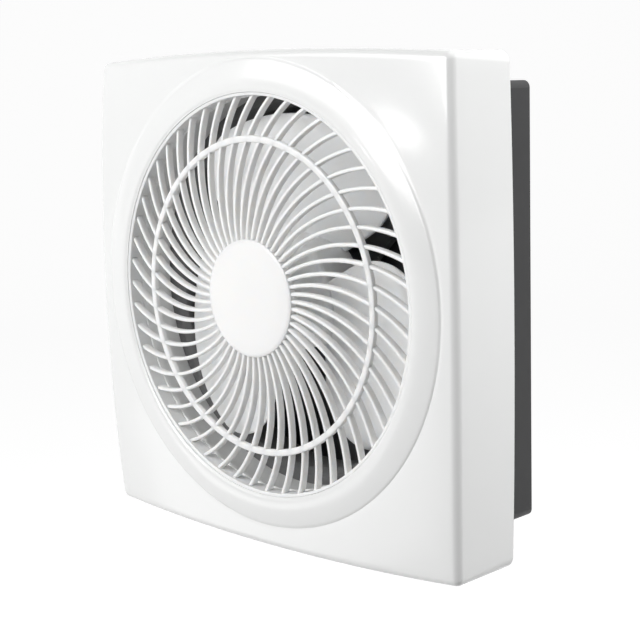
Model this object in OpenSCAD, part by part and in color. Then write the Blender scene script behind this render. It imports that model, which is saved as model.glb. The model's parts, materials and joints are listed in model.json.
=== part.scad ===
// Window exhaust fan: pillowed front cover with a spiral grille, three-blade
// impeller on a capacitor motor, square duct box with a gravity shutter.
// Every module is drawn lying on the wall plane: x to the right, y up from the
// middle of the cover, z forward into the room. face() then stands it up.

/* [Cover] */
// Overall width of the front cover
cover_w = 350; // [346:1:366]
// Overall height of the front cover
cover_h = 348; // [346:1:366]
// Depth of the cover from the wall to the middle of its front edges
cover_depth = 59; // [56:1:66]
// Thickness of the cover shell
cover_wall = 2.5; // [2:0.25:3.5]

/* [Grille] */
// Number of curved ribs in the grille
rib_count = 52; // [36:1:56]
// Width of one rib, seen from the front
rib_w = 2.4; // [1.8:0.1:2.8]
// Depth of one rib, front to back
rib_d = 5; // [3.5:0.5:6]
// Radius of the plain disc in the middle of the grille
disc_r = 41; // [38:1:44]

/* [Fan] */
// Radius of the impeller at the blade tips
fan_r = 125; // [121:1:125]
// Radial gap between the blade tips and the orifice
tip_gap = 4; // [3:0.5:5]
// Number of blades
blade_count = 3; // [3:1:5]
// Axial height of a blade, leading edge to trailing edge
blade_rise = 32; // [26:1:36]

/* [Duct box] */
// Outside width and height of the square box that goes through the wall
box_w = 298; // [296:1:300]
// Length of the box behind the wall plane
box_len = 53; // [53:1:80]
// Wall thickness of the box
box_wall = 3; // [2:0.5:3.5]
// Half the wall-screw spacing across
screw_x = 158; // [157:0.5:160]
// Half the wall-screw spacing up and down
screw_y = 130; // [100:1:140]
// Radius of a wall-screw hole
screw_hole_r = 2.5; // [2:0.25:3]

/* [Shaft] */
// Radius of the motor shaft
shaft_r = 4; // [3:0.5:4.5]

/* [Hidden] */
$fn = 96;

// cover form
edge_r = 6;
rear_r = 9;
bow_top = 5;
bow_side = 4.8;
bow_front = 5.2;
bow_rear = 2.2;
draft = 3;
fan_y = 5.5;
open_r = fan_r + 15.5;
ring_w = 21;
crease_r = open_r + ring_w;
crease_z = cover_depth + 1.4;
rim_z = cover_depth - 0.4;
ring_rise = 4;
throat_w = 3;
throat_back = 20;
ledge_w = 3;
ledge_t = 3;
seat_z = rim_z - 9;

// sockets that hold the cover
stud_xy = 143;
stud_r = 2.5;
boss_r = 5;
boss_end = 12;
socket_gap = 0.05;

// grille
dome_h = 9.8;
dome_r = (open_r * open_r + dome_h * dome_h) / (2 * dome_h);
arc_r = 105.5;
arc_off = 111.6;
rim_ring_w = 2;
rim_gap = 0.2;
mid_r = 109;
mid_w = 4.6;
disc_t = 3;
tab_w = 8;
tab_len = 5;
tab_gap = 0.3;
small_screw_r = 1.5;

// orifice panel
plate_half = box_w / 2 + 3;
plate_back = 3;
plate_t = 3;
tube_w = 3;
tube_back = -10;
bell = 5;
bore_r = fan_r + tip_gap;
tube_screw_x = 139.5;
tube_screw_y = 60;
post_at = 160;
post_r = 7;
post_end = -28;

// duct box
box_half = box_w / 2;
box_in = box_half - box_wall;
box_corner = 5;
flange_half = min(cover_w, cover_h - 2 * draft) / 2 - 6;
flange_t = 3;
lip_t = 2;
lip_h = 5;
sill_h = 5;

// motor and bracket
strap_t = 3;
strap_w = 18;
strap_z = post_end;
pad_r = 38;
can_r = 34;
can_wall = 2;
can_split = -8;
can_front = 24;
can_rear = -25;
isolator_t = can_rear - strap_z;
isolator_r = 6;
post_screw_bite = 12;
mount_r = 26;
m4_r = 2;
bearing_r = 8;
bearing_w = 5;
fit = 0.04;
rotor_r = 20;
air_gap = 0.5;
stack_lo = -10;
stack_hi = 12;

// impeller
hub_r = 42;
hub_wall = 3;
hub_front = 36;
boss_back = 28.4;
shaft_front = hub_front + 5.5;
shaft_rear = can_rear + 1.5;
drive_pin_r = 1.5;
drive_pin_len = 15;
drive_pin_z = boss_back + 1.6;
blade_t = 2.2;
blade_mid_z = 17;
blade_camber = 4;
blade_gap = 20;
blade_corner = 60;
blade_turn = 2;
nr = 12;
nt = 14;

// shutter
vane_n = 4;
vane_pitch = 69;
vane_top = 134;
vane_z = -42;
vane_len = 71.5;
vane_lean = 5.5;
vane_t = 1.6;
barrel_r = 3.5;
rail_t = 3;
rail_x = box_in - rail_t;
vane_half = rail_x - 0.5;
rail_screw_y = 115;
rail_screw_z = vane_z + 10;
pin_r = 2;
lug_x = 130;
lug_t = 3;
crank = 12;
crank_a = 20;
link_pin_r = 1.5;
link_w = 6;
bar_t = 2.5;
bar_x = lug_x + lug_t / 2 + 0.3;

// electrical pieces
tb_x = plate_half - 56;
tb_w = 36;
tb_y = 2 - plate_half;
tb_h = 32;
tb_z = plate_back + plate_t;
tb_d = 26;
cord_x = tb_x + tb_w / 2;
cord_z = tb_z + 9;
cord_notch_r = 5;
cap_x = 20 - plate_half;
cap_w = 36;
cap_h = 20;
cap_d = 24;
cap_lug_w = 8;
cap_lug_h = 6;
clip_at = 12;
clip_w = 10;
clip_foot = 10;
lead_r = 2.5;
thin_lead_r = 1.8;

// ---- frames and helpers ----

module face() {
    rotate([90, 0, 0]) children();
}

module fan_face() {
    face() translate([0, fan_y, 0]) children();
}

module ring(r_out, r_in, z0, z1) {
    translate([0, 0, z0]) difference() {
        cylinder(r = r_out, h = z1 - z0);
        translate([0, 0, -1]) cylinder(r = r_in, h = z1 - z0 + 2);
    }
}

module four(x, y) {
    for (sx = [-1, 1], sy = [-1, 1]) translate([sx * x, sy * y, 0]) children();
}

module diagonals() {
    for (a = [45:90:315]) rotate([0, 0, a]) children();
}

module rounded_square(half, r) {
    square([2 * half, 2 * (half - r)], center = true);
    square([2 * (half - r), 2 * half], center = true);
    for (sx = [-1, 1], sy = [-1, 1]) translate([sx * (half - r), sy * (half - r)]) circle(r = r, $fn = 48);
}

module pan_screw(r, head_r, head_h, len) {
    difference() {
        union() {
            cylinder(r = head_r, h = head_h, $fn = 48);
            translate([0, 0, -len]) cylinder(r = r, h = len + 0.5, $fn = 48);
        }
        for (a = [0, 90]) rotate([0, 0, a]) translate([-head_r * 0.6, -0.4, head_h - 0.9])
            cube([head_r * 1.2, 0.8, 2]);
    }
}

// ---- cover ----

module cover_form(inset, low) {
    r = edge_r - inset;
    fx = cover_w / 2 - edge_r;
    fy = cover_h / 2 - edge_r;
    bx = cover_w / 2 - rear_r;
    by = cover_h / 2 - rear_r - draft;
    hull() {
        for (s = [-1, 1], u = [-1:0.25:1]) {
            translate([u * (fx - bow_side), s * (fy - bow_top * u * u), cover_depth - bow_front * u * u - edge_r])
                sphere(r = r, $fn = 24);
            translate([s * (fx - bow_side * u * u), u * (fy - bow_top), cover_depth - bow_front * u * u - edge_r])
                sphere(r = r, $fn = 24);
        }
        for (s = [-1, 1], u = [-1:0.5:1]) {
            translate([u * (bx - bow_rear), s * (by - bow_rear * u * u), low])
                cylinder(r = rear_r - inset, h = 1, $fn = 24);
            translate([s * (bx - bow_rear * u * u), u * (by - bow_rear), low])
                cylinder(r = rear_r - inset, h = 1, $fn = 24);
        }
        translate([0, fan_y, crease_z - inset - 1]) cylinder(r = crease_r + 1, h = 1, $fn = 72);
    }
}

function ring_top(t) = [
    open_r + (ring_w + 1.5) * pow(t, 1.4),
    rim_z + (crease_z - 1.1 - rim_z) * t + ring_rise * pow(sin(180 * pow(t, 0.62)), 0.8)
];

module cover_throat() {
    rotate_extrude($fn = 180) polygon(concat(
        [for (i = [0:12]) ring_top(i / 12)],
        [[open_r + throat_w, cover_depth - 1.5], [open_r + throat_w, throat_back],
         [open_r, throat_back], [open_r, seat_z - ledge_t], [open_r - ledge_w, seat_z - ledge_t],
         [open_r - ledge_w, seat_z], [open_r, seat_z]]
    ));
}

module cord_notch() {
    translate([cord_x, -cover_h / 2, cord_z]) rotate([90, 0, 0])
        cylinder(r = cord_notch_r, h = 30, center = true, $fn = 48);
    translate([cord_x - cord_notch_r, -cover_h / 2 - 15, -1]) cube([2 * cord_notch_r, 30, cord_z + 1]);
}

module front_cover() {
    color("white") face() {
        difference() {
            cover_form(0, 0);
            cover_form(cover_wall, -1);
            translate([0, fan_y, 0]) cylinder(r = open_r + 12, h = 200);
            cord_notch();
        }
        translate([0, fan_y, 0]) difference() {
            cover_throat();
            diagonals() translate([open_r - 5, -tab_w / 2 - tab_gap, seat_z - 10])
                cube([4.9, tab_w + 2 * tab_gap, 11]);
        }
        four(stud_xy, stud_xy) {
            translate([0, 0, boss_end]) cylinder(r = boss_r, h = cover_depth - boss_end - 3.6);
            translate([0, 0, plate_back]) cylinder(r = stud_r, h = boss_end - plate_back + 1);
        }
    }
}

module cover_sockets() {
    color("gainsboro") face() four(stud_xy, stud_xy) {
        ring(5.5, stud_r + socket_gap, tb_z, tb_z + 4);
        ring(4, stud_r + socket_gap, plate_back, tb_z);
    }
}

// ---- grille ----

module dome(back) {
    translate([0, 0, rim_z + dome_h - dome_r - back]) sphere(r = dome_r, $fn = 256);
}

module rib() {
    mirror([1, 0, 0]) intersection() {
        translate([0, 0, rim_z - rib_d - 3]) linear_extrude(height = dome_h + rib_d + 6) intersection() {
            translate([-arc_off, 0]) difference() {
                circle(r = arc_r + rib_w / 2, $fn = 240);
                circle(r = arc_r - rib_w / 2, $fn = 240);
            }
            translate([-150, 0]) square([150, 150]);
            difference() {
                circle(r = open_r - 1.2, $fn = 180);
                circle(r = disc_r - 3, $fn = 96);
            }
        }
        dome(0);
    }
}

function dome_z(r) = rim_z + dome_h - dome_r + sqrt(dome_r * dome_r - r * r);

module grille() {
    color("white") fan_face() {
        difference() {
            for (i = [0:rib_count - 1]) rotate([0, 0, i * 360 / rib_count]) rib();
            dome(rib_d);
        }
        rotate_extrude($fn = 180) polygon([
            [mid_r - mid_w / 2, dome_z(mid_r) - 3], [mid_r + mid_w / 2, dome_z(mid_r) - 3],
            [mid_r + mid_w / 2, dome_z(mid_r + mid_w / 2) + 0.4],
            [mid_r - mid_w / 2, dome_z(mid_r - mid_w / 2) + 0.4]
        ]);
        rotate_extrude($fn = 180) polygon([
            [open_r - rim_gap - rim_ring_w, seat_z], [open_r - rim_gap, seat_z],
            [open_r - rim_gap, rim_z - 0.6], [open_r - rim_gap - rim_ring_w, rim_z - 0.2]
        ]);
        rotate_extrude($fn = 120) polygon([
            [0, dome_z(0) - rib_d - 1], [disc_r - disc_t, dome_z(0) - rib_d - 1],
            [disc_r, dome_z(0) - rib_d], [disc_r, dome_z(disc_r) - 0.4],
            [disc_r - 1.2, dome_z(disc_r) + 0.9], [disc_r * 0.6, dome_z(0) + 1.1], [0, dome_z(0) + 1.5]
        ]);
        diagonals() translate([open_r - rim_gap - rim_ring_w, -tab_w / 2, seat_z - tab_len])
            cube([rim_ring_w - 0.1, tab_w, tab_len + 2]);
    }
}

// ---- orifice panel ----

module orifice_panel() {
    color("dimgray") difference() {
        union() {
            face() translate([0, 0, plate_back]) linear_extrude(height = plate_t) rounded_square(plate_half, 6);
            fan_face() {
                translate([0, 0, tube_back]) cylinder(r = bore_r + tube_w, h = throat_back - tube_back, $fn = 180);
                translate([0, 0, throat_back - bell]) cylinder(r = open_r + throat_w, h = bell, $fn = 180);
                diagonals() translate([post_at, 0, post_end]) cylinder(r = post_r, h = plate_back - post_end + 1);
            }
        }
        fan_face() {
            translate([0, 0, tube_back - 1]) cylinder(r = bore_r, h = throat_back - tube_back + 2, $fn = 180);
            translate([0, 0, throat_back - bell]) cylinder(r1 = bore_r, r2 = bore_r + bell + 0.2, h = bell + 0.2, $fn = 180);
            diagonals() translate([post_at, 0, post_end - 1]) cylinder(r = m4_r - 0.1, h = 14, $fn = 48);
        }
        face() {
            four(stud_xy, stud_xy) cylinder(r = 4, h = 20);
            four(tube_screw_x, tube_screw_y) cylinder(r = m4_r + 0.2, h = 20);
            translate([125, -94, 0]) cylinder(r = lead_r + 0.6, h = 20);
        }
    }
}

module orifice_screws() {
    color("silver") face() four(tube_screw_x, tube_screw_y)
        translate([0, 0, plate_back + plate_t]) pan_screw(m4_r - 0.1, 3.8, 2.4, 12);
}

// ---- duct box ----

module duct_box() {
    color("#4a4a4c") face() difference() {
        union() {
            linear_extrude(height = flange_t) rounded_square(flange_half, 8);
            translate([0, 0, -box_len]) linear_extrude(height = box_len + 1) rounded_square(box_half, box_corner);
        }
        difference() {
            translate([0, 0, -box_len - 1]) linear_extrude(height = box_len + flange_t + 2)
                rounded_square(box_in, box_corner - 2);
            for (s = [-1, 1], y = [-tube_screw_y, tube_screw_y])
                translate([s * (tube_screw_x + 3.5) - 8.5, y - 5, -12]) cube([17, 10, 12 + flange_t]);
            translate([-box_half, box_in - lip_h, vane_z - 10]) cube([box_w, lip_h + 2 * box_wall, lip_t]);
            translate([-box_half, -box_in - 2 * box_wall, vane_z - 3]) cube([box_w, sill_h + 2 * box_wall, lip_t]);
        }
        four(screw_x, screw_y) translate([0, 0, -1]) cylinder(r = screw_hole_r, h = flange_t + 2, $fn = 48);
        four(tube_screw_x, tube_screw_y) translate([0, 0, -20]) cylinder(r = m4_r - 0.05, h = 30, $fn = 48);
        for (s = [-1, 1], y = [-rail_screw_y, rail_screw_y])
            translate([s * (rail_x + rail_t - 0.1), y, rail_screw_z])
            rotate([0, 90 * s, 0]) cylinder(r = small_screw_r, h = 2.2, $fn = 48);
    }
}

function pivot_y(k) = vane_top - k * vane_pitch;

module vane_rail() {
    difference() {
        translate([rail_x, -box_in + 8, vane_z - 7]) cube([rail_t, 2 * box_in - 17, 21]);
        for (k = [0:vane_n - 1]) translate([rail_x - 1, pivot_y(k), vane_z]) rotate([0, 90, 0])
            cylinder(r = pin_r + fit, h = rail_t + 2, $fn = 48);
        for (y = [-rail_screw_y, rail_screw_y]) translate([rail_x - 1, y, rail_screw_z]) rotate([0, 90, 0])
            cylinder(r = small_screw_r + 0.2, h = rail_t + 2, $fn = 48);
    }
}

module vane_rail_right() {
    color("dimgray") face() vane_rail();
}

module vane_rail_left() {
    color("dimgray") face() mirror([1, 0, 0]) vane_rail();
}

module rail_screws() {
    color("silver") face() for (s = [-1, 1], y = [-rail_screw_y, rail_screw_y])
        translate([s * rail_x, y, rail_screw_z]) rotate([0, -90 * s, 0])
            pan_screw(small_screw_r, 2.8, 1.5, rail_t + 1.8);
}

// ---- shutter ----

crank_y = crank * sin(crank_a);
crank_z = crank * cos(crank_a);

module vane(k) {
    color("#6a6a6d") face() translate([0, pivot_y(k), vane_z]) {
        rotate([0, 90, 0]) {
            cylinder(r = barrel_r, h = 2 * vane_half, center = true, $fn = 48);
            cylinder(r = pin_r, h = 2 * (rail_x + rail_t - 0.3), center = true, $fn = 48);
        }
        rotate([atan(vane_lean / vane_len), 0, 0]) {
            translate([-vane_half, -vane_len, -vane_t / 2]) cube([2 * vane_half, vane_len, vane_t]);
            translate([-vane_half, -vane_len, -vane_t / 2 - 1.2]) cube([2 * vane_half, 2, vane_t + 1.2]);
            for (x = [-vane_half, -vane_half / 3, vane_half / 3, vane_half - 1.6])
                translate([x, 10 - vane_len, 0]) cube([1.6, vane_len - 13, 2.4]);
        }
        translate([lug_x, 0, 0]) rotate([0, 90, 0]) linear_extrude(height = lug_t, center = true) {
            translate([-crank_z, crank_y]) circle(r = 3.2, $fn = 48);
            rotate([0, 0, 180 - crank_a]) translate([0, -2.5]) square([crank, 5]);
        }
        translate([lug_x, crank_y, crank_z]) rotate([0, 90, 0])
            cylinder(r = link_pin_r, h = lug_t / 2 + bar_t + 1.3, $fn = 48);
    }
}

module shutter_vane_1() {
    vane(0);
}

module shutter_vane_2() {
    vane(1);
}

module shutter_vane_3() {
    vane(2);
}

module shutter_vane_4() {
    vane(3);
}

module shutter_link() {
    y0 = pivot_y(vane_n - 1) + crank_y;
    y1 = pivot_y(0) + crank_y;
    color("gainsboro") face() difference() {
        translate([bar_x, 0, vane_z + crank_z]) rotate([0, 90, 0]) linear_extrude(height = bar_t) {
            translate([-link_w / 2, y0]) square([link_w, y1 - y0]);
            for (y = [y0, y1]) translate([0, y]) circle(r = link_w / 2, $fn = 48);
        }
        for (k = [0:vane_n - 1]) translate([bar_x - 1, pivot_y(k) + crank_y, vane_z + crank_z])
            rotate([0, 90, 0]) cylinder(r = link_pin_r + (k == 0 ? fit : 0.35), h = bar_t + 2, $fn = 48);
    }
}

// ---- motor ----

module motor_bracket() {
    color("silver") fan_face() difference() {
        union() {
            translate([0, 0, strap_z - strap_t]) cylinder(r = pad_r, h = strap_t);
            diagonals() translate([20, -strap_w / 2, strap_z - strap_t]) cube([post_at - 20, strap_w, strap_t]);
            diagonals() translate([post_at, 0, strap_z - strap_t]) cylinder(r = strap_w / 2, h = strap_t);
            diagonals() for (s = [-1, 1])
                translate([32, s * (strap_w / 2 - 1) - 1, strap_z - strap_t - 3]) cube([post_at - 44, 2, 4]);
        }
        translate([0, 0, strap_z - 10]) cylinder(r = 16, h = 20);
        diagonals() for (r = [mount_r, post_at])
            translate([r, 0, strap_z - 10]) cylinder(r = m4_r + 0.2, h = 20, $fn = 48);
    }
}

module bracket_screws() {
    color("silver") fan_face() diagonals() translate([post_at, 0, strap_z - strap_t]) mirror([0, 0, 1])
        pan_screw(m4_r - 0.15, 4, 2.4, strap_t + post_screw_bite);
}

module motor_isolators() {
    color("#222222") fan_face() diagonals() translate([mount_r, 0, 0]) ring(isolator_r, m4_r + 0.1, strap_z, can_rear);
}

module motor_screws() {
    color("silver") fan_face() diagonals() translate([mount_r, 0, strap_z - strap_t]) mirror([0, 0, 1])
        pan_screw(m4_r, 4, 2.4, strap_t + isolator_t + 5);
}

module motor_can_front() {
    color("gainsboro") fan_face() difference() {
        union() {
            ring(can_r, can_r - can_wall, can_split, can_front);
            translate([0, 0, can_front - can_wall]) cylinder(r = can_r, h = can_wall);
            translate([0, 0, can_front - bearing_w - 1]) cylinder(r = bearing_r + 2.5, h = bearing_w + 3.5);
        }
        translate([0, 0, can_front - bearing_w - 2]) cylinder(r = bearing_r, h = bearing_w + 2);
        cylinder(r = shaft_r + 0.6, h = can_front + 10);
        for (a = [15:30:345]) rotate([0, 0, a]) translate([22, -1.5, can_front - 5]) cube([7, 3, 10]);
    }
}

module motor_can_rear() {
    color("gainsboro") fan_face() difference() {
        union() {
            ring(can_r, can_r - can_wall, can_rear, can_split);
            translate([0, 0, can_rear]) cylinder(r = can_r, h = can_wall);
            translate([0, 0, can_rear]) cylinder(r = bearing_r + 2.5, h = bearing_w + 4);
            diagonals() translate([mount_r, 0, can_rear]) cylinder(r = 4.5, h = 6, $fn = 48);
            rotate([0, 0, -45]) translate([can_r - 1, -5, can_rear]) cube([4, 10, 9]);
        }
        translate([0, 0, can_rear + 3]) cylinder(r = bearing_r, h = 20);
        translate([0, 0, can_rear + 1]) cylinder(r = shaft_r + 1, h = 10);
        diagonals() translate([mount_r, 0, can_rear - 1]) cylinder(r = m4_r + 0.05, h = 6.5, $fn = 48);
    }
}

module bearing(z0) {
    ring(bearing_r, shaft_r + fit, z0, z0 + bearing_w);
}

module bearing_front() {
    color("goldenrod") fan_face() bearing(can_front - bearing_w);
}

module bearing_rear() {
    color("goldenrod") fan_face() bearing(can_rear + 3);
}

module stator_core() {
    color("gray") fan_face() ring(can_r - can_wall, rotor_r + air_gap, stack_lo, stack_hi);
}

module stator_windings() {
    color("#b87333") fan_face() {
        ring(can_r - can_wall - 2, rotor_r + 1.5, stack_hi, stack_hi + 6);
        ring(can_r - can_wall - 2, rotor_r + 1.5, stack_lo - 5, stack_lo);
    }
}

module motor_rotor() {
    color("lightgray") fan_face() ring(rotor_r, shaft_r, stack_lo - 1, stack_hi + 1);
}

module motor_shaft() {
    color("silver") fan_face() difference() {
        translate([0, 0, shaft_rear]) cylinder(r = shaft_r, h = shaft_front - shaft_rear);
        translate([0, 0, drive_pin_z]) rotate([0, 90, 0])
            cylinder(r = drive_pin_r, h = drive_pin_len + shaft_r, center = true, $fn = 48);
    }
}

module drive_pin() {
    color("silver") fan_face() translate([0, 0, drive_pin_z]) rotate([0, 90, 0])
        cylinder(r = drive_pin_r, h = drive_pin_len, center = true, $fn = 48);
}

// ---- impeller ----

function blade_half(r) =
    180 / blade_count
    - (blade_gap / 2) * 57.3 / r
    - (r > fan_r - blade_corner
        ? (blade_corner - sqrt(pow(blade_corner, 2) - pow(r - fan_r + blade_corner, 2))) * 57.3 / r
        : 0);
function blade_radius(i) = hub_r - 1.5 + (fan_r - 0.15 - hub_r + 1.5) * sin(90 * i / nr);
function blade_level(r, s) =
    blade_mid_z + blade_rise * (0.5 - s) * (0.85 + 0.15 * r / fan_r) + blade_camber * 4 * s * (1 - s);
function blade_point(i, j, side) =
    let (r = blade_radius(i), s = j / nt, a = blade_half(r) * (2 * s - 1))
    [r * sin(a), r * cos(a), blade_level(r, s) + side * blade_t / 2];

module blade() {
    cols = nt + 1;
    half = (nr + 1) * cols;
    polyhedron(
        points = [for (side = [1, -1], i = [0:nr], j = [0:nt]) blade_point(i, j, side)],
        faces = concat(
            [for (i = [0:nr - 1], j = [0:nt - 1], t = [0, 1]) let (a = i * cols + j)
                t == 0 ? [a, a + cols, a + 1] : [a + 1, a + cols, a + cols + 1]],
            [for (i = [0:nr - 1], j = [0:nt - 1], t = [0, 1]) let (a = half + i * cols + j)
                t == 0 ? [a, a + 1, a + cols] : [a + 1, a + cols + 1, a + cols]],
            [for (j = [0:nt - 1], t = [0, 1]) let (a = j, b = half + j)
                t == 0 ? [a, a + 1, b] : [a + 1, b + 1, b]],
            [for (j = [0:nt - 1], t = [0, 1]) let (a = nr * cols + j, b = half + nr * cols + j)
                t == 0 ? [a, b, a + 1] : [a + 1, b, b + 1]],
            [for (i = [0:nr - 1], t = [0, 1]) let (a = i * cols, b = half + i * cols)
                t == 0 ? [a, b, a + cols] : [a + cols, b, b + cols]],
            [for (i = [0:nr - 1], t = [0, 1]) let (a = i * cols + nt, b = half + i * cols + nt)
                t == 0 ? [a, a + cols, b] : [a + cols, b + cols, b]]
        )
    );
}

module impeller() {
    color("white") fan_face() {
        difference() {
            union() {
                cylinder(r = hub_r, h = hub_front - 3);
                translate([0, 0, hub_front - 3]) cylinder(r1 = hub_r, r2 = hub_r - 4, h = 3);
            }
            translate([0, 0, -1]) cylinder(r = hub_r - hub_wall, h = hub_front - 3 + 1);
            cylinder(r = shaft_r + 0.02, h = 60);
        }
        difference() {
            translate([0, 0, boss_back]) cylinder(r = 9, h = hub_front - boss_back - 1);
            cylinder(r = shaft_r + 0.02, h = 60);
            translate([-10, -1.6, boss_back - 1]) cube([20, 3.2, 4.2]);
        }
        for (k = [0:blade_count - 1]) rotate([0, 0, -blade_turn - k * 360 / blade_count]) blade();
    }
}

module spinner_nut() {
    color("white") fan_face() difference() {
        rotate_extrude() polygon([
            [0, hub_front], [11, hub_front], [11, hub_front + 3], [9.5, hub_front + 5],
            [6, hub_front + 6.5], [0, hub_front + 7]
        ]);
        cylinder(r = shaft_r + 0.02, h = shaft_front + 0.5);
        for (a = [0:60:300]) rotate([0, 0, a]) translate([12, 0, hub_front - 1]) cylinder(r = 2, h = 20, $fn = 48);
    }
}

// ---- electrical pieces ----

module capacitor() {
    color("#3a5a8a") face() {
        translate([cap_x, tb_y, tb_z]) cube([cap_w, cap_h, cap_d]);
        translate([cap_x + cap_w - 1, tb_y + 6, tb_z]) cube([2.5, cap_lug_w, cap_lug_h]);
    }
}

module capacitor_strap() {
    color("silver") face() difference() {
        union() {
            translate([cap_x + clip_at, tb_y - 1, tb_z]) cube([clip_w, cap_h + 2, cap_d + 1]);
            translate([cap_x + clip_at, tb_y, tb_z]) cube([clip_w, cap_h + clip_foot, 1]);
            translate([cap_x + clip_at + clip_w / 2, tb_y + cap_h + clip_foot * 0.55, tb_z + 1])
                pan_screw(small_screw_r, 2.8, 1.5, 0.9);
        }
        translate([cap_x + clip_at - 1, tb_y, tb_z - 1]) cube([clip_w + 2, cap_h, cap_d + 1]);
    }
}

module terminal_box() {
    color("#d8d8d4") face() difference() {
        translate([tb_x, tb_y, tb_z]) cube([tb_w, tb_h, tb_d]);
        translate([tb_x + 2, tb_y + 2, tb_z + 2]) cube([tb_w - 4, tb_h - 4, tb_d]);
        translate([cord_x, tb_y + 1, cord_z]) rotate([90, 0, 0]) cylinder(r = 5, h = 6, center = true, $fn = 48);
    }
    color("#d8d8d4") face() for (c = [[tb_x + 4.5, tb_y + tb_h - 4.5], [tb_x + tb_w - 4.5, tb_y + tb_h - 4.5]])
        translate([c[0], c[1], 0]) difference() {
            translate([0, 0, tb_z + 1]) cylinder(r = 3.2, h = tb_d - 1, $fn = 48);
            translate([0, 0, tb_z + 8]) cylinder(r = small_screw_r - 0.05, h = tb_d, $fn = 48);
        }
}

module terminal_block() {
    color("#f4f0e0") face() difference() {
        translate([tb_x + 4, tb_y + 10, tb_z + 2]) cube([28, 10, 9]);
        for (i = [0:2]) translate([tb_x + 9 + i * 9, tb_y + 15, tb_z + 8]) cylinder(r = 2.5, h = 10, $fn = 48);
        for (i = [0:2]) translate([tb_x + 9 + i * 9, tb_y + 5, tb_z + 5]) rotate([-90, 0, 0])
            cylinder(r = 1.6, h = 30, $fn = 48);
    }
}

module terminal_screws() {
    color("goldenrod") face() for (i = [0:2]) translate([tb_x + 9 + i * 9, tb_y + 15, tb_z + 8])
        difference() {
            cylinder(r = 2.4, h = 2.2, $fn = 48);
            translate([-3, -0.4, 1.4]) cube([6, 0.8, 2]);
        }
}

module terminal_lid() {
    color("#d8d8d4") face() difference() {
        translate([tb_x - 1, tb_y - 1, tb_z + tb_d]) cube([tb_w + 2, tb_h + 2, 2]);
        for (x = [tb_x + 4.5, tb_x + tb_w - 4.5]) translate([x, tb_y + tb_h - 4.5, 0])
            cylinder(r = small_screw_r + 0.2, h = 60, $fn = 48);
    }
}

module lid_screws() {
    color("silver") face() for (x = [tb_x + 4.5, tb_x + tb_w - 4.5])
        translate([x, tb_y + tb_h - 4.5, tb_z + tb_d + 2]) pan_screw(small_screw_r - 0.1, 2.8, 1.5, 12);
}

module cable_grommet() {
    color("#222222") face() translate([cord_x, tb_y, cord_z]) rotate([-90, 0, 0]) {
        ring(6.5, 3, -2, 0);
        ring(5, 3, 0, 2);
        ring(6.5, 3, 2, 3.5);
    }
}

// ---- leads: a tube swept along hand-set points, softened at the corners ----

function softened(p) = concat(
    [p[0]],
    [for (i = [0:len(p) - 2], t = [0, 1])
        if (!(i == 0 && t == 0) && !(i == len(p) - 2 && t == 1))
            p[i] + (p[i + 1] - p[i]) * (t == 0 ? 0.25 : 0.75)],
    [p[len(p) - 1]]
);
function unit(v) = v / norm(v);
function heading(p, i) = i == 0 ? unit(p[1] - p[0])
    : i == len(p) - 1 ? unit(p[i] - p[i - 1])
    : unit(unit(p[i + 1] - p[i]) + unit(p[i] - p[i - 1]));

module tube(p, r, sides) {
    n = len(p);
    polyhedron(
        points = [for (i = [0:n - 1]) let (
                d = heading(p, i),
                a = unit(cross(d, [0.3, 0.5, 0.81])),
                b = cross(d, a)
            ) for (j = [0:sides - 1]) p[i] + r * (cos(360 * j / sides) * a + sin(360 * j / sides) * b)],
        faces = concat(
            [[for (j = [0:sides - 1]) j]],
            [for (i = [0:n - 2], j = [0:sides - 1], t = [0, 1])
                let (a = i * sides + j, b = i * sides + (j + 1) % sides)
                t == 0 ? [a, a + sides, b] : [b, a + sides, b + sides]],
            [[for (j = [sides - 1:-1:0]) (n - 1) * sides + j]]
        )
    );
}

motor_lead_route = [
    [26.2, -20.7, -21], [34, -28.5, -21], [46, -40.5, -25.4], [94, -88.5, -25.4],
    [125, -94, -24], [125, -94, 0], [125, -94, 16], [125, -108, 18], [125, -118, 18]
];
cap_lead_route = [[-94.5, -140, 9], [-80, -142, 8], [-60, -146, 7.9], [60, -146, 7.9], [80, -142, 8], [96, -140, 9]];

module motor_lead() {
    color("#222222") face() tube(softened(softened(motor_lead_route)), lead_r, 8);
}

module capacitor_lead() {
    color("#333333") face() tube(softened(softened(cap_lead_route)), thin_lead_r, 8);
}

// ---- drawing ----

front_cover();
grille();
cover_sockets();
orifice_panel();
orifice_screws();
duct_box();
vane_rail_left();
vane_rail_right();
rail_screws();
shutter_vane_1();
shutter_vane_2();
shutter_vane_3();
shutter_vane_4();
shutter_link();
motor_bracket();
bracket_screws();
motor_isolators();
motor_screws();
motor_can_front();
motor_can_rear();
stator_core();
stator_windings();
motor_rotor();
motor_shaft();
bearing_front();
bearing_rear();
impeller();
drive_pin();
spinner_nut();
capacitor();
capacitor_strap();
terminal_box();
terminal_block();
terminal_screws();
terminal_lid();
lid_screws();
cable_grommet();
motor_lead();
capacitor_lead();
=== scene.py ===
"""Looks of the window exhaust fan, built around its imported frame."""

import json
import math

import bmesh
import bpy
from mathutils import Matrix, Vector


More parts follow.
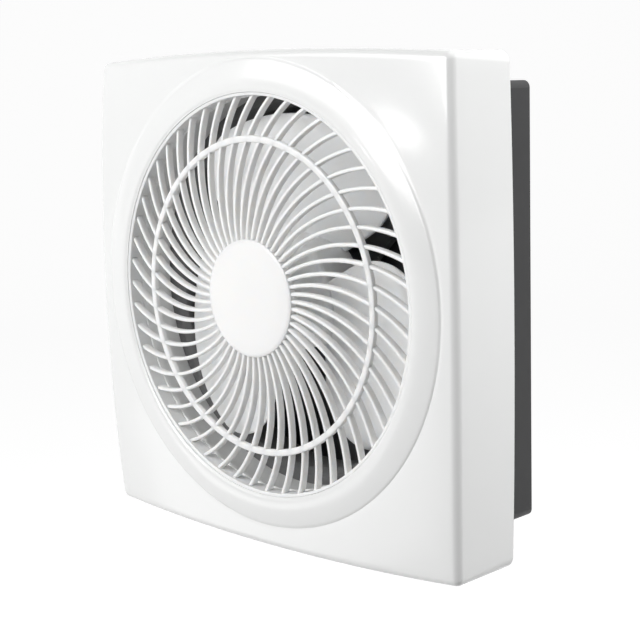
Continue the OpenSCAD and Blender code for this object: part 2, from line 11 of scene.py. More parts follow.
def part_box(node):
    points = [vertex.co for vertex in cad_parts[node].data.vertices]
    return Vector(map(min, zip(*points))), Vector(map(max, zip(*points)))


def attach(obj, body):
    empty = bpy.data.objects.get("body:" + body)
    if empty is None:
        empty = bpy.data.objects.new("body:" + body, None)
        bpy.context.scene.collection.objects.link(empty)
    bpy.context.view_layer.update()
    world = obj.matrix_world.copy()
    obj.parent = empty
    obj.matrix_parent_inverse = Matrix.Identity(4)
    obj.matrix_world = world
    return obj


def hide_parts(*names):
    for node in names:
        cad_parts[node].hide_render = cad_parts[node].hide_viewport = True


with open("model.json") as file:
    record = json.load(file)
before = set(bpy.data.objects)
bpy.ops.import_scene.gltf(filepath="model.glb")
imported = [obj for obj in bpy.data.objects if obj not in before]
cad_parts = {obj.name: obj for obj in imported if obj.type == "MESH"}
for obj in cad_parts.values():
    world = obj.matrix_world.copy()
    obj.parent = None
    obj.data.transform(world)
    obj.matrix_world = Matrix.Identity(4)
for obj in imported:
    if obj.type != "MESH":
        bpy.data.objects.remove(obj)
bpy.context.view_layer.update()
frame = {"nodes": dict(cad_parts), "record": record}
NODES = frame["nodes"]
MM = 0.001

# ---------------------------------------------------------------- camera

CAMERA_AT = Vector((751.27, -765.84, 158.88)) * MM
CAMERA_TURN = math.radians(44.412)
CAMERA_DOWN = math.radians(9.4)
CAMERA_ROLL = math.radians(-1.609)
CAMERA_LENS = 84.745


def make_camera():
    """The photograph's view: from the right, a little above, with a slight roll."""
    flat = math.cos(CAMERA_DOWN)
    ahead = Vector((-math.sin(CAMERA_TURN) * flat, math.cos(CAMERA_TURN) * flat, 0))
    ahead.z = -math.sin(CAMERA_DOWN)
    right = Vector((math.cos(CAMERA_TURN), math.sin(CAMERA_TURN), 0))
    up = right.cross(ahead)
    rolled_right = math.cos(CAMERA_ROLL) * right + math.sin(CAMERA_ROLL) * up
    rolled_up = -math.sin(CAMERA_ROLL) * right + math.cos(CAMERA_ROLL) * up
    data = bpy.data.cameras.new("camera")
    data.lens = CAMERA_LENS
    camera = bpy.data.objects.new("camera", data)
    bpy.context.scene.collection.objects.link(camera)
    turn = Matrix((rolled_right, rolled_up, -ahead)).transposed().to_4x4()
    camera.matrix_world = Matrix.Translation(CAMERA_AT) @ turn
    bpy.context.scene.camera = camera


make_camera()

# ---------------------------------------------------------------- sizes, in millimetres

# The drawing plane is the wall: x to the right, y up from the middle of the
# cover, z out into the room.
COVER_LOW, COVER_HIGH = (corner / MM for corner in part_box("front_cover"))
COVER_W = COVER_HIGH.x - COVER_LOW.x
COVER_H = COVER_HIGH.z - COVER_LOW.z
COVER_DEPTH = 59.0
COVER_WALL = 2.5
EDGE_R = 6.0
REAR_R = 9.0
BOW_TOP = 5.0
BOW_SIDE = 4.8
BOW_REAR = 2.2
DRAFT = 3.0
FAN_Y = 5.5
FAN_R = 125.0
OPEN_R = FAN_R + 15.5
RIM_Z = COVER_DEPTH - 0.4
# The raised ring: its lip at the opening, its rise and how its arch leans towards the
# opening, the height of its foot, and the crease between it and the panel.
LIP = 2.7
RING_W = 22.5
RING_RISE = 4.0
RING_LEAN = 1.4
ARCH_LEAN = 0.62
ARCH_START = 0.25
ARCH_FULL = 0.8
FOOT = 0.7
FOOT_FALL = 0.35
RING_BLEND = 0.3
CREASE = 0.45
CREASE_SPREAD = 0.35
PANEL_TOP = COVER_DEPTH + 1.6
PANEL_ROLL = 1.6
PANEL_CORNER = 4.0
PANEL_MARGIN = 1.5
THROAT_LEVELS = (20.0, 30.0, 40.0, 48.0, 53.0, 56.0, RIM_Z - 1.0)
SEAT_Z = RIM_Z - 9
LEDGE = 3.0
LEDGE_T = 3.0
LEDGE_ROOT = 1.0
LEDGE_EDGE = 0.4
STUD_XY = 143.0
STUD_R = 2.5
STUD_BACK = 3.0
STUD_TAPER = 0.6
STUD_TIP = 0.8
BOSS_R = 5.0
BOSS_END = 12.0
BOSS_EDGE = 0.3
BOSS_ROOT = COVER_DEPTH - 4.2
CORD_X = 114.0
CORD_Z = 15.0
NOTCH_R = 5.0
NOTCH_REACH = 15
NOTCH_STEPS = 16

DOME_H = 9.8
DOME_R = (OPEN_R**2 + DOME_H**2) / (2 * DOME_H)
RIB_COUNT = 52
RIB_W = 2.8
RIB_D = 5.0
RIB_ROOT = 2.0
RIB_TIP = 1.2
RIB_ARC_R = 105.5
RIB_ARC_OFF = 111.6
DISC_R = 41.0
MID_R = 109.0
MID_W = 4.6
MID_D = 3.4
MID_PROUD = 0.4
RIM_W = 2.0
RIM_PLAY = 0.2

BLADE_COUNT = 3
BLADE_RISE = 32.0
BLADE_T = 2.2
BLADE_EDGE = 0.25
BLADE_ROOT = 1.5
BLADE_TRIM = 0.15
BLADE_MID_Z = 17.0
BLADE_CAMBER = 4.0
PITCH_AT_AXIS = 0.85
PITCH_GAIN = 0.15
BLADE_GAP = 20.0
BLADE_CORNER = 60.0
BLADE_TURN = 2.0
HUB_R = 42.0
HUB_FRONT = 36.0
HUB_WALL = 3.0
HUB_BOSS_R = 9.0
HUB_BOSS_BACK = 28.4
SHAFT_R = 4.0
SHAFT_PLAY = 0.02
# A turned outline that closes on the axis starts and ends this far from it.
AXIS_GAP = 0.01


def placed(x, y, z):
    """A point of the drawing plane, in the frame's metres."""
    return Vector((x, -z, y)) * MM


def placed_on_fan(x, y, z):
    """As placed(), with x and y measured from the fan's axis."""
    return placed(x, y + FAN_Y, z)


# ---------------------------------------------------------------- materials

COAT_ROUGHNESS = 0.12
GLOW_REACH = 0.004
GLOW_SPREAD = (1.0, 0.9, 0.8)
GRAIN_STRENGTH = 0.6
GLOSS_FINENESS = 6
ROUND_BRUSHED = (1.0, 40.0, 1.0)
# The colour sockets of a mix node.
MIX_FIRST, MIX_SECOND, MIX_RESULT = 6, 7, 2


def node_tools(material):
    """Clears a material's nodes; returns its node tree and a function that adds a node."""
    material.use_nodes = True
    tree = material.node_tree
    tree.nodes.clear()

    def add(kind, **values):
        node = tree.nodes.new(kind)
        for name, value in values.items():
            if name in node.inputs:
                node.inputs[name].default_value = value
            else:
                setattr(node, name, value)
        return node

    return tree, add


def noise_of(tree, add, coordinates, scale, detail, stretch=None):
    """A noise texture over the object's own coordinates."""
    noise = add("ShaderNodeTexNoise", Scale=scale, Detail=detail)
    if stretch:
        mapping = add("ShaderNodeMapping")
        mapping.inputs["Scale"].default_value = stretch
        tree.links.new(coordinates.outputs["Object"], mapping.inputs["Vector"])
        tree.links.new(mapping.outputs["Vector"], noise.inputs["Vector"])
    else:
        tree.links.new(coordinates.outputs["Object"], noise.inputs["Vector"])
    return noise


def surface(
    name, colour, roughness, tint, sway, grain, depth,
    metallic=0.0, patch=18.0, stretch=None, coat=0.0, specular=0.5, glow_through=0.0,
):
    """A finish with slow colour variation, uneven gloss and a fine grain in relief.

    The colour varies by the share tint and the roughness by sway, over patches;
    grain is the fineness of the relief and depth its height in metres."""
    material = bpy.data.materials.new(name)
    tree, add = node_tools(material)
    coordinates = add("ShaderNodeTexCoord")
    shader = add("ShaderNodeBsdfPrincipled", Metallic=metallic)
    shader.inputs["Specular IOR Level"].default_value = specular
    shader.inputs["Coat Weight"].default_value = coat
    shader.inputs["Coat Roughness"].default_value = COAT_ROUGHNESS
    shader.inputs["Subsurface Weight"].default_value = glow_through
    shader.inputs["Subsurface Radius"].default_value = GLOW_SPREAD
    shader.inputs["Subsurface Scale"].default_value = GLOW_REACH
    out = add("ShaderNodeOutputMaterial")
    tree.links.new(shader.outputs[0], out.inputs["Surface"])

    slow = noise_of(tree, add, coordinates, patch, 4.0)
    mix = add("ShaderNodeMix", data_type="RGBA")
    mix.inputs[MIX_FIRST].default_value = (*[c * (1 - tint) for c in colour], 1)
    mix.inputs[MIX_SECOND].default_value = (*[min(1.0, c * (1 + tint)) for c in colour], 1)
    tree.links.new(slow.outputs["Fac"], mix.inputs[0])
    tree.links.new(mix.outputs[MIX_RESULT], shader.inputs["Base Color"])

    gloss = noise_of(tree, add, coordinates, patch * GLOSS_FINENESS, 5.0, stretch)
    spread = add("ShaderNodeMapRange")
    spread.inputs["To Min"].default_value = max(0.0, roughness - sway)
    spread.inputs["To Max"].default_value = roughness + sway
    tree.links.new(gloss.outputs["Fac"], spread.inputs["Value"])
    tree.links.new(spread.outputs["Result"], shader.inputs["Roughness"])

    fine = noise_of(tree, add, coordinates, grain, 2.0, stretch)
    bump = add("ShaderNodeBump", Strength=GRAIN_STRENGTH, Distance=depth)
    tree.links.new(fine.outputs["Fac"], bump.inputs["Height"])
    tree.links.new(bump.outputs["Normal"], shader.inputs["Normal"])
    return material


FINISHES = {
    "white_gloss": surface(
        "white_gloss", (0.86, 0.865, 0.86), 0.3, 0.004, 0.015, 1500, 0.000003,
        patch=5.0, coat=0.6, specular=0.3,
    ),
    "grille_white": surface(
        "grille_white", (0.93, 0.928, 0.92), 0.36, 0.006, 0.02, 1200, 0.000004,
        patch=6.0, glow_through=0.4,
    ),
    "impeller_white": surface(
        "impeller_white", (0.96, 0.963, 0.96), 0.32, 0.006, 0.02, 1200, 0.000004,
        patch=6.0, glow_through=0.5,
    ),
    "orifice_grey": surface("orifice_grey", (0.14, 0.14, 0.142), 0.5, 0.12, 0.08, 2600, 0.00003),
    "box_grey": surface(
        "box_grey", (0.066, 0.066, 0.067), 0.52, 0.1, 0.08, 2600, 0.00004, specular=0.15
    ),
    "rail_grey": surface("rail_grey", (0.085, 0.085, 0.088), 0.5, 0.1, 0.08, 2600, 0.00003),
    "vane_grey": surface("vane_grey", (0.11, 0.11, 0.114), 0.42, 0.1, 0.08, 2200, 0.00003),
    "nylon": surface("nylon", (0.78, 0.76, 0.7), 0.4, 0.03, 0.06, 1800, 0.00002),
    "zinc_steel": surface("zinc_steel", (0.62, 0.61, 0.58), 0.3, 0.06, 0.08, 3000, 0.00001, 1.0),
    "bracket_steel": surface(
        "bracket_steel", (0.3, 0.31, 0.32), 0.45, 0.06, 0.08, 1400, 0.00003, 0.2
    ),
    "can_steel": surface("can_steel", (0.2, 0.21, 0.22), 0.4, 0.06, 0.08, 1400, 0.00003, 0.3),
    "lamination": surface(
        "lamination", (0.25, 0.24, 0.23), 0.5, 0.1, 0.1, 900, 0.00005, 0.8, stretch=ROUND_BRUSHED
    ),
    "copper": surface(
        "copper", (0.72, 0.34, 0.16), 0.35, 0.1, 0.1, 1100, 0.0001, 0.7, stretch=ROUND_BRUSHED
    ),
    "rotor_metal": surface("rotor_metal", (0.6, 0.6, 0.6), 0.35, 0.05, 0.08, 2400, 0.00002, 1.0),
    "bright_steel": surface("bright_steel", (0.7, 0.7, 0.7), 0.22, 0.04, 0.06, 2400, 0.00001, 1.0),
    "bronze": surface("bronze", (0.55, 0.38, 0.18), 0.45, 0.1, 0.1, 2600, 0.00003, 1.0),
    "rubber": surface("rubber", (0.03, 0.03, 0.03), 0.75, 0.15, 0.1, 2000, 0.00004),
    "capacitor_case": surface("capacitor_case", (0.72, 0.72, 0.69), 0.4, 0.03, 0.06, 1800, 0.00002),
    "terminal_plastic": surface(
        "terminal_plastic", (0.68, 0.68, 0.65), 0.42, 0.03, 0.06, 1800, 0.00002
    ),
    "brass": surface("brass", (0.75, 0.58, 0.28), 0.3, 0.06, 0.08, 2400, 0.00001, 1.0),
    "lead_sheath": surface("lead_sheath", (0.035, 0.035, 0.036), 0.5, 0.1, 0.08, 1800, 0.00003),
}

# ---------------------------------------------------------------- mesh tools


def piece(name, points, faces, slot, body, *nodes):
    """A new piece of the object: its mesh, finish, body, and the nodes that it stands for."""
    mesh = bpy.data.meshes.new(name)
    mesh.from_pydata(points, [], faces)
    made = bpy.data.objects.new(name, mesh)
    bpy.context.scene.collection.objects.link(made)
    tidy_mesh(made)
    mesh.materials.append(FINISHES[slot])
    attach(made, body)
    if nodes:
        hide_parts(*nodes)
    return made


def tidy_mesh(made, merge=2e-6, sharp=35):
    """Merges doubled points, turns the normals outward and smooths all but sharp edges."""
    work = bmesh.new()
    work.from_mesh(made.data)
    bmesh.ops.remove_doubles(work, verts=work.verts, dist=merge)
    bmesh.ops.recalc_face_normals(work, faces=work.faces)
    work.to_mesh(made.data)
    work.free()
    for polygon in made.data.polygons:
        polygon.use_smooth = True
    made.data.set_sharp_from_angle(angle=math.radians(sharp))


def apply_modifiers(made):
    """Makes the modifiers' result the piece's own mesh."""
    bpy.context.view_layer.update()
    evaluated = made.evaluated_get(bpy.context.evaluated_depsgraph_get())
    mesh = bpy.data.meshes.new_from_object(evaluated)
    made.modifiers.clear()
    made.data = mesh


def cut_out(made, points, faces):
    """Takes the space inside a closed mesh out of the piece."""
    mesh = bpy.data.meshes.new("cutter")
    mesh.from_pydata(points, [], faces)
    cutter = bpy.data.objects.new("cutter", mesh)
    bpy.context.scene.collection.objects.link(cutter)
    tidy_mesh(cutter)
    notch = made.modifiers.new("notch", "BOOLEAN")
    notch.operation = "DIFFERENCE"
    notch.solver = "EXACT"
    notch.object = cutter
    apply_modifiers(made)
    bpy.data.objects.remove(cutter)


def add_on(made, points, faces):
    """Adds closed solids to the piece's mesh."""
    extra = bpy.data.meshes.new("extra")
    extra.from_pydata(points, [], faces)
    work = bmesh.new()
    work.from_mesh(made.data)
    work.from_mesh(extra)
    work.to_mesh(made.data)
    work.free()
    tidy_mesh(made)


def grid_faces(rows, columns, closed, start=0):
    """Quads over rows of points, joined round where closed."""
    found = []
    for i in range(rows - 1):
        for j in range(columns if closed else columns - 1):
            k = (j + 1) % columns
            a = start + i * columns
            found.append((a + j, a + k, a + columns + k, a + columns + j))
    return found


def lathe(profile, steps=144, place=placed_on_fan):
    """Points and faces of a closed outline of (radius, z) turned about the fan's axis."""
    points, faces = [], []
    for i in range(steps):
        turn = 2 * math.pi * i / steps
        points += [place(r * math.cos(turn), r * math.sin(turn), z) for r, z in profile]
    count = len(profile)
    for i in range(steps):
        for j in range(count):
            a, b = i * count, (i + 1) % steps * count
            k = (j + 1) % count
            faces.append((a + j, a + k, b + k, b + j))
    return points, faces


def joined(*parts):
    """Several sets of points and faces as one."""
    points, faces = [], []
    for more_points, more_faces in parts:
        start = len(points)
        points += more_points
        faces += [tuple(start + i for i in face) for face in more_faces]
    return points, faces


# ---------------------------------------------------------------- cover

COVER_SIDE_STEPS = 44
COVER_CORNER_STEPS = 7


def outline_columns(half_x, half_y, bow_x, bow_y):
    """Points of a bowed square with their outward directions.

    The sides run anticlockwise from the right one. Each corner repeats its point
    while the direction turns from one side's to the next."""
    sides = []
    for quarter in range(4):
        across, along, bow_a, bow_l = (
            (half_x, half_y, bow_x, bow_y) if quarter % 2 == 0 else (half_y, half_x, bow_y, bow_x)
        )
        turn = Matrix.Rotation(quarter * math.pi / 2, 2)
        side = []
        for i in range(COVER_SIDE_STEPS + 1):
            u = 2 * i / COVER_SIDE_STEPS - 1
            point = turn @ Vector((across - bow_a * u * u, u * (along - bow_l)))
            out = turn @ Vector((along - bow_l, 2 * bow_a * u)).normalized()
            side.append((point, out))
        sides.append(side)
    columns = []
    for side, following in zip(sides, sides[1:] + sides[:1]):
        columns += side
        point, first = side[-1]
        last = following[0][1]
        for i in range(1, COVER_CORNER_STEPS):
            out = first.lerp(last, i / COVER_CORNER_STEPS).normalized()
            columns.append((point, out))
    return columns


def ring_height(radius):
    """Front of the raised ring round the opening."""
    t = ((radius - OPEN_R) / RING_W) ** (1 / RING_LEAN) if radius > OPEN_R else 0.0
    if t >= 1:
        return RIM_Z + FOOT - FOOT_FALL * (radius - OPEN_R - RING_W)
    arch = math.sin(math.pi * max(t**ARCH_LEAN, ARCH_START)) ** ARCH_FULL
    return RIM_Z + FOOT * t + RING_RISE * arch


def panel_height(x, y):
    """Front of the pillowed panel: flat in the middle, lowest at the corners."""
    across, up = x / (COVER_W / 2 - EDGE_R), y / (COVER_H / 2 - EDGE_R)
    return PANEL_TOP - PANEL_ROLL * (across**4 + up**4) - PANEL_CORNER * (across * up) ** 2


def soft_max(a, b, blend):
    """The larger of two heights, blended where they meet."""
    h = max(blend - abs(a - b), 0.0) / blend
    return max(a, b) + h * h * blend / 4


def cover_columns():
    """The cover's skin from the back of the throat over the ring and the edge to the wall."""
    front = outline_columns(COVER_W / 2 - EDGE_R, COVER_H / 2 - EDGE_R, BOW_SIDE, BOW_TOP)
    rear = outline_columns(COVER_W / 2 - REAR_R, COVER_H / 2 - REAR_R - DRAFT, BOW_REAR, BOW_REAR)
    ring_steps = 44
    panel_steps = 14
    edge_steps = 10
    side_steps = 12
    edge_start = math.radians(80)
    crowding = 1.25
    columns = []
    for (spot, out), (rear_spot, rear_out) in zip(front, rear):
        rim = spot + out * EDGE_R * math.cos(edge_start)
        centre_z = panel_height(rim.x, rim.y) - EDGE_R * math.sin(edge_start)
        ray = rim - Vector((0, FAN_Y))
        reach = ray.length
        ray.normalize()

        def front_z(radius):
            panel = panel_height(ray.x * radius, ray.y * radius + FAN_Y)
            ring = ring_height(radius)
            crease = CREASE * math.exp(-(((ring - panel) / CREASE_SPREAD) ** 2))
            return soft_max(ring, panel, RING_BLEND) - crease

        column = [(ray * OPEN_R, z) for z in THROAT_LEVELS]
        ring_end = min(OPEN_R + RING_W, reach - PANEL_MARGIN)
        for i in range(ring_steps + 1):
            radius = OPEN_R + (ring_end - OPEN_R) * (i / ring_steps) ** crowding
            column.append((ray * radius, front_z(radius) if i else RIM_Z + LIP))
        for i in range(1, panel_steps):
            radius = ring_end + (reach - ring_end) * i / panel_steps
            column.append((ray * radius, front_z(radius)))
        column = [(Vector((p.x, p.y + FAN_Y)), z) for p, z in column]
        for i in range(edge_steps + 1):
            turn = edge_start * (1 - i / edge_steps)
            rolled = spot + out * EDGE_R * math.cos(turn)
            column.append((rolled, centre_z + EDGE_R * math.sin(turn)))
        start, start_z = column[-1]
        end = rear_spot + rear_out * REAR_R
        for i in range(1, side_steps + 1):
            share = i / side_steps
            column.append((start.lerp(end, share), start_z * (1 - share)))
        columns.append(column)
    return columns


def cord_notch():
    """The space for the supply cord in the cover's lower edge."""
    outline = [(NOTCH_R, -1), (-NOTCH_R, -1)]
    for i in range(NOTCH_STEPS + 1):
        turn = math.pi * i / NOTCH_STEPS
        outline.append((-NOTCH_R * math.cos(turn), CORD_Z + NOTCH_R * math.sin(turn)))
    count = len(outline)
    edge = -COVER_H / 2
    points = [
        placed(CORD_X + x, y, z)
        for y in (edge - NOTCH_REACH, edge + NOTCH_REACH)
        for x, z in outline
    ]
    faces = [(i, (i + 1) % count, count + (i + 1) % count, count + i) for i in range(count)]
    return points, faces + [tuple(range(count)), tuple(reversed(range(count, 2 * count)))]


def make_cover():
    """The white front cover: pillowed front, raised ring, throat, and studs inside."""
    columns = cover_columns()
    rows = len(columns[0])
    points = [placed(*column[i][0], column[i][1]) for i in range(rows) for column in columns]
    faces = grid_faces(rows, len(columns), True)
    cover = piece("cover_shell", points, faces, "white_gloss", "housing", "front_cover")
    shell = cover.modifiers.new("shell", "SOLIDIFY")
    shell.thickness = COVER_WALL * MM
    shell.offset = -1
    apply_modifiers(cover)
    cut_out(cover, *cord_notch())
    parts = [lathe([
        (OPEN_R - LEDGE, SEAT_Z - LEDGE_T), (OPEN_R + LEDGE_ROOT, SEAT_Z - LEDGE_T),
        (OPEN_R + LEDGE_ROOT, SEAT_Z), (OPEN_R - LEDGE + LEDGE_EDGE, SEAT_Z),
        (OPEN_R - LEDGE, SEAT_Z - LEDGE_EDGE),
    ])]
    for x in (-STUD_XY, STUD_XY):
        for y in (-STUD_XY, STUD_XY):
            parts.append(lathe([
                (AXIS_GAP, BOSS_ROOT), (AXIS_GAP, STUD_BACK), (STUD_R - STUD_TAPER, STUD_BACK),
                (STUD_R, STUD_BACK + STUD_TIP), (STUD_R, BOSS_END),
                (BOSS_R - BOSS_EDGE, BOSS_END), (BOSS_R, BOSS_END + BOSS_EDGE),
                (BOSS_R, BOSS_ROOT),
            ], 40, lambda px, py, pz, x=x, y=y: placed(px + x, py + y, pz)))
    add_on(cover, *joined(*parts))


make_cover()

# ---------------------------------------------------------------- grille


def dome_z(radius):
    """Front of the grille, a shallow dome over the opening."""
    return RIM_Z + DOME_H - DOME_R + math.sqrt(DOME_R**2 - radius**2)


RIB_STEPS = 30
# Half of a rib's section, from its back to its front, as shares of its width and depth.
RIB_SECTION = [(0.42, 1.0), (0.5, 0.35), (0.46, 0.16), (0.34, 0.04), (0.15, 0.0)]


def arc_angle(radius):
    """Where a rib's arc is that far from the fan's axis, as an angle about the arc's middle."""
    reach = RIB_ARC_OFF**2 + RIB_ARC_R**2 - radius**2
    return math.acos(reach / (2 * RIB_ARC_OFF * RIB_ARC_R))


def rib(turn):
    """One curved rib, swept along its arc with a rounded front edge."""
    half = [(w * RIB_W, d * RIB_D) for w, d in RIB_SECTION]
    section = half + [(-w, d) for w, d in reversed(half)]
    first, last = arc_angle(DISC_R - RIB_ROOT), arc_angle(OPEN_R - RIB_TIP)
    spin = Matrix.Rotation(turn, 2)
    points = []
    for i in range(RIB_STEPS + 1):
        angle = first + (last - first) * i / RIB_STEPS
        out = Vector((-math.cos(angle), math.sin(angle)))
        for across, deep in section:
            spot = Vector((RIB_ARC_OFF, 0)) + out * (RIB_ARC_R + across)
            height = dome_z(spot.length) - deep
            spot = spin @ spot
            points.append(placed_on_fan(spot.x, spot.y, height))
    count = len(section)
    faces = grid_faces(RIB_STEPS + 1, count, True)
    faces.append(tuple(range(count)))
    faces.append(tuple(RIB_STEPS * count + i for i in reversed(range(count))))
    return points, faces


def make_grille():
    """Spiral ribs, middle ring, rim and disc."""
    parts = [rib(2 * math.pi * i / RIB_COUNT) for i in range(RIB_COUNT)]
    top = dome_z(MID_R) + MID_PROUD
    inner, outer = MID_R - MID_W / 2, MID_R + MID_W / 2
    parts.append(lathe([
        (inner, top - MID_D), (outer, top - MID_D), (outer, top - 0.7), (outer - 0.3, top - 0.25),
        (outer - 0.9, top), (inner + 0.9, top), (inner + 0.3, top - 0.25), (inner, top - 0.7),
    ], 180))
    rim_out = OPEN_R - RIM_PLAY
    rim_in = rim_out - RIM_W
    rim_top = RIM_Z + LIP
    parts.append(lathe([
        (rim_in, SEAT_Z), (rim_out, SEAT_Z), (rim_out, rim_top - 0.2),
        (rim_out - 0.2, rim_top - 0.1), (rim_in + 0.5, rim_top - 0.3), (rim_in, rim_top - 0.7),
    ], 180))
    edge = dome_z(DISC_R)
    middle = dome_z(0)
    parts.append(lathe([
        (AXIS_GAP, middle - RIB_D - 1), (DISC_R - 3, middle - RIB_D - 1), (DISC_R, middle - RIB_D),
        (DISC_R, edge - 0.4), (DISC_R - 0.3, edge + 0.3), (DISC_R - 1.2, edge + 0.8),
        (DISC_R - 3, edge + 1.05), (DISC_R * 0.6, middle + 1.1), (DISC_R * 0.3, middle + 1.4),
        (AXIS_GAP, middle + 1.5),
    ], 120))
    points, faces = joined(*parts)
    piece("grille_spiral", points, faces, "grille_white", "housing", "grille")


make_grille()

# ---------------------------------------------------------------- impeller

BLADE_ROWS = 26
BLADE_COLUMNS = 34


def blade_half_angle(radius):
    """Half of the angle that a blade covers at a radius, in degrees."""
    cut = 0.0
    inward = radius - FAN_R + BLADE_CORNER
    if inward > 0:
        cut = BLADE_CORNER - math.sqrt(BLADE_CORNER**2 - inward**2)
    return 180 / BLADE_COUNT - math.degrees((BLADE_GAP / 2 + cut) / radius)


def blade_level(radius, s):
    """Middle of the blade from its leading edge, s = 0, to its trailing edge, s = 1."""
    pitch = BLADE_RISE * (0.5 - s) * (PITCH_AT_AXIS + PITCH_GAIN * radius / FAN_R)
    return BLADE_MID_Z + pitch + BLADE_CAMBER * 4 * s * (1 - s)


def eased(i, count):
    """Evenly spread shares from 0 to 1, closer together at both ends."""
    return (1 - math.cos(math.pi * i / count)) / 2


def blade(turn):
    """One broad blade with rounded edges."""
    inner = HUB_R - BLADE_ROOT
    outer = FAN_R - BLADE_TRIM
    points = []
    for side in (1, -1):
        for i in range(BLADE_ROWS + 1):
            radius = inner + (outer - inner) * math.sin(math.pi / 2 * i / BLADE_ROWS)
            for j in range(BLADE_COLUMNS + 1):
                s = eased(j, BLADE_COLUMNS)
                angle = math.radians(blade_half_angle(radius) * (2 * s - 1)) - turn
                arc = radius * math.radians(2 * blade_half_angle(radius))
                to_edge = min(s * arc, (1 - s) * arc, outer - radius + 0.05)
                round_off = min(1.0, to_edge / BLADE_T)
                bulge = math.sqrt(1 - (1 - round_off) ** 2)
                thick = BLADE_T * (BLADE_EDGE + (1 - BLADE_EDGE) * bulge)
                points.append(placed_on_fan(
                    radius * math.sin(angle), radius * math.cos(angle),
                    blade_level(radius, s) + side * thick / 2,
                ))
    width = BLADE_COLUMNS + 1
    back = (BLADE_ROWS + 1) * width
    faces = grid_faces(BLADE_ROWS + 1, width, False)
    faces += [tuple(reversed(face)) for face in grid_faces(BLADE_ROWS + 1, width, False, back)]
    for j in range(BLADE_COLUMNS):
        faces.append((j, j + 1, back + j + 1, back + j))
        far = BLADE_ROWS * width + j
        faces.append((far + 1, far, back + far, back + far + 1))
    for i in range(BLADE_ROWS):
        near = i * width
        far = near + BLADE_COLUMNS
        faces.append((near + width, near, back + near, back + near + width))
        faces.append((far, far + width, back + far + width, back + far))
    return points, faces


def make_impeller():
    """Hub with its rounded front edge, boss and broad blades."""
    bore = SHAFT_R + SHAFT_PLAY
    hub = lathe([
        (bore, HUB_FRONT), (HUB_R - 6, HUB_FRONT), (HUB_R - 3.4, HUB_FRONT - 0.5),
        (HUB_R - 1.4, HUB_FRONT - 1.7), (HUB_R - 0.3, HUB_FRONT - 3.6), (HUB_R, HUB_FRONT - 6),
        (HUB_R, 0.4), (HUB_R - 0.4, 0), (HUB_R - HUB_WALL, 0),
        (HUB_R - HUB_WALL, HUB_FRONT - 4.4), (HUB_R - 4.4, HUB_FRONT - HUB_WALL),
        (HUB_BOSS_R, HUB_FRONT - HUB_WALL), (HUB_BOSS_R, HUB_BOSS_BACK), (bore, HUB_BOSS_BACK),
    ], 120)
    turns = [math.radians(-BLADE_TURN - k * 360 / BLADE_COUNT) for k in range(BLADE_COUNT)]
    points, faces = joined(hub, *[blade(turn) for turn in turns])
    piece("impeller_blades", points, faces, "impeller_white", "fan", "impeller")


make_impeller()

# ---------------------------------------------------------------- carried-over nodes

WELD_WITHIN = 0.00001
SOFT_EDGE = 0.00035


def dress_nodes():
    """Gives every node that still shows its finish and softens its edges."""
    slots = {part["node"]: part["material_slot"] for part in frame["record"]["subparts"]}
    for name, node in NODES.items():
        if node.hide_render:
            continue
        node.data.materials.clear()
        node.data.materials.append(FINISHES[slots[name]])
        weld = node.modifiers.new("weld", "WELD")
        weld.merge_threshold = WELD_WITHIN
        bevel = node.modifiers.new("soft_edges", "BEVEL")
        bevel.width = SOFT_EDGE
        bevel.segments = 2
        bevel.limit_method = "ANGLE"
        bevel.angle_limit = math.radians(40)
        bevel.use_clamp_overlap = True


dress_nodes()

# ---------------------------------------------------------------- studio

FLOOR_Z = -0.62
# The paper's grey as its light reaches the fan, its grey in the picture, and the
# glow that makes it pale there.
PAPER_GREY = (0.45, 0.45, 0.45, 1)
SEEN_GREY = (0.3, 0.3, 0.3, 1)
SEEN_GLOW = 0.93


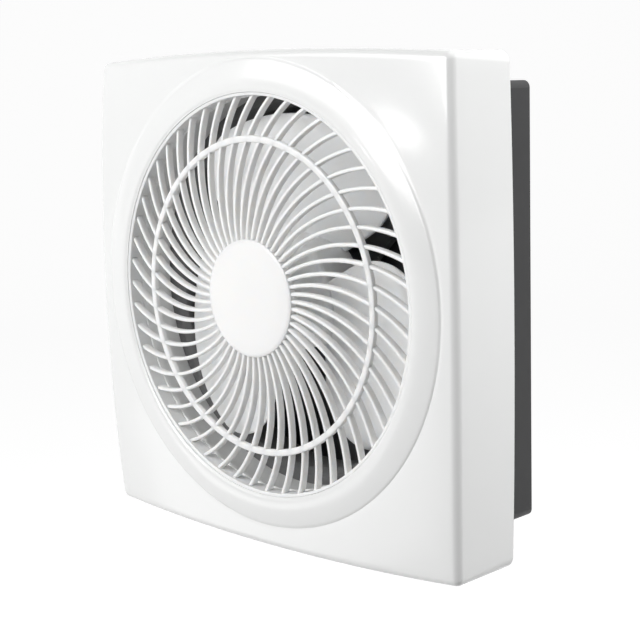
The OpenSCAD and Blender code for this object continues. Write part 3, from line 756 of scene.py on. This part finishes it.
def make_stage():
    """A pale floor far below the hanging fan, curving up into a pale backdrop."""
    width, front, back, top = 9.0, -6.0, 5.0, 5.0
    radius = 1.5
    steps = 12
    bend = back - radius
    profile = [(front, FLOOR_Z), (bend, FLOOR_Z)]
    for i in range(1, steps + 1):
        turn = math.pi / 2 * i / steps
        profile.append((
            bend + radius * math.sin(turn), FLOOR_Z + radius - radius * math.cos(turn)
        ))
    profile.append((back, top))
    away = Matrix.Rotation(CAMERA_TURN, 3, "Z")
    points = [away @ Vector((x, y, z)) for y, z in profile for x in (-width, width)]
    faces = [(2 * i, 2 * i + 1, 2 * i + 3, 2 * i + 2) for i in range(len(profile) - 1)]
    mesh = bpy.data.meshes.new("studio_floor")
    mesh.from_pydata(points, [], faces)
    floor = bpy.data.objects.new("studio_floor", mesh)
    bpy.context.scene.collection.objects.link(floor)
    for polygon in mesh.polygons:
        polygon.use_smooth = True
    material = bpy.data.materials.new("studio_paper")
    tree, add = node_tools(material)
    paper = add("ShaderNodeBsdfDiffuse", Color=PAPER_GREY)
    lit = add("ShaderNodeBsdfDiffuse", Color=SEEN_GREY)
    glow = add("ShaderNodeEmission", Color=(1, 1, 1, 1), Strength=SEEN_GLOW)
    seen = add("ShaderNodeAddShader")
    tree.links.new(lit.outputs[0], seen.inputs[0])
    tree.links.new(glow.outputs[0], seen.inputs[1])
    path = add("ShaderNodeLightPath")
    either = add("ShaderNodeMath", operation="MAXIMUM")
    any_of = add("ShaderNodeMath", operation="MAXIMUM")
    tree.links.new(path.outputs["Is Camera Ray"], either.inputs[0])
    tree.links.new(path.outputs["Is Glossy Ray"], either.inputs[1])
    tree.links.new(either.outputs[0], any_of.inputs[0])
    tree.links.new(path.outputs["Is Transmission Ray"], any_of.inputs[1])
    mix = add("ShaderNodeMixShader")
    out = add("ShaderNodeOutputMaterial")
    tree.links.new(any_of.outputs[0], mix.inputs[0])
    tree.links.new(paper.outputs[0], mix.inputs[1])
    tree.links.new(seen.outputs[0], mix.inputs[2])
    tree.links.new(mix.outputs[0], out.inputs["Surface"])
    mesh.materials.append(material)


def make_world(strength):
    """Even light from all round, seen as white."""
    world = bpy.data.worlds.new("studio_air")
    bpy.context.scene.world = world
    world.use_nodes = True
    tree = world.node_tree
    tree.nodes.clear()
    dim = tree.nodes.new("ShaderNodeBackground")
    dim.inputs["Color"].default_value = (1, 1, 1, 1)
    dim.inputs["Strength"].default_value = strength
    white = tree.nodes.new("ShaderNodeBackground")
    white.inputs["Color"].default_value = (1, 1, 1, 1)
    path = tree.nodes.new("ShaderNodeLightPath")
    mix = tree.nodes.new("ShaderNodeMixShader")
    out = tree.nodes.new("ShaderNodeOutputWorld")
    tree.links.new(path.outputs["Is Camera Ray"], mix.inputs[0])
    tree.links.new(dim.outputs[0], mix.inputs[1])
    tree.links.new(white.outputs[0], mix.inputs[2])
    tree.links.new(mix.outputs[0], out.inputs["Surface"])


def lamp(name, at, towards, width, height, radiance, mirrored=True):
    """A soft box of that size and brightness, which glossy surfaces mirror if mirrored is true."""
    data = bpy.data.lights.new(name, "AREA")
    data.shape = "RECTANGLE"
    data.size = width
    data.size_y = height
    data.energy = radiance * math.pi * width * height
    made = bpy.data.objects.new(name, data)
    bpy.context.scene.collection.objects.link(made)
    made.location = at
    made.rotation_mode = "QUATERNION"
    made.rotation_quaternion = (Vector(towards) - Vector(at)).to_track_quat("-Z", "Y")
    made.visible_camera = False
    made.visible_glossy = mirrored


make_stage()
make_world(0.09)
lamp("front_box", (-0.25, -1.25, 0.55), (0, 0, 0), 0.7, 0.7, 7.8)
lamp("fill_box", (0.75, -1.1, 0.9), (0, 0, 0), 0.8, 0.8, 1.05)
lamp("high_left_box", (-0.75, -1.1, 0.75), (0, 0, 0), 0.7, 0.7, 3.5)
lamp("left_box", (-1.1, -0.7, 0.1), (0, 0, 0), 0.6, 0.6, 0.2)
lamp("low_left_box", (-0.7, -0.75, -0.6), (0, 0, 0), 0.6, 0.6, 1.6)
lamp("glint_box", (-0.6, -1.024, 0.14), (0.128, -0.056, 0.12), 0.09, 0.05, 19.0)
lamp("side_box", (0.9, 0.55, 0.75), (0, 0, 0.1), 0.8, 0.8, 9.3, False)

bpy.context.scene.view_settings.view_transform = "Standard"
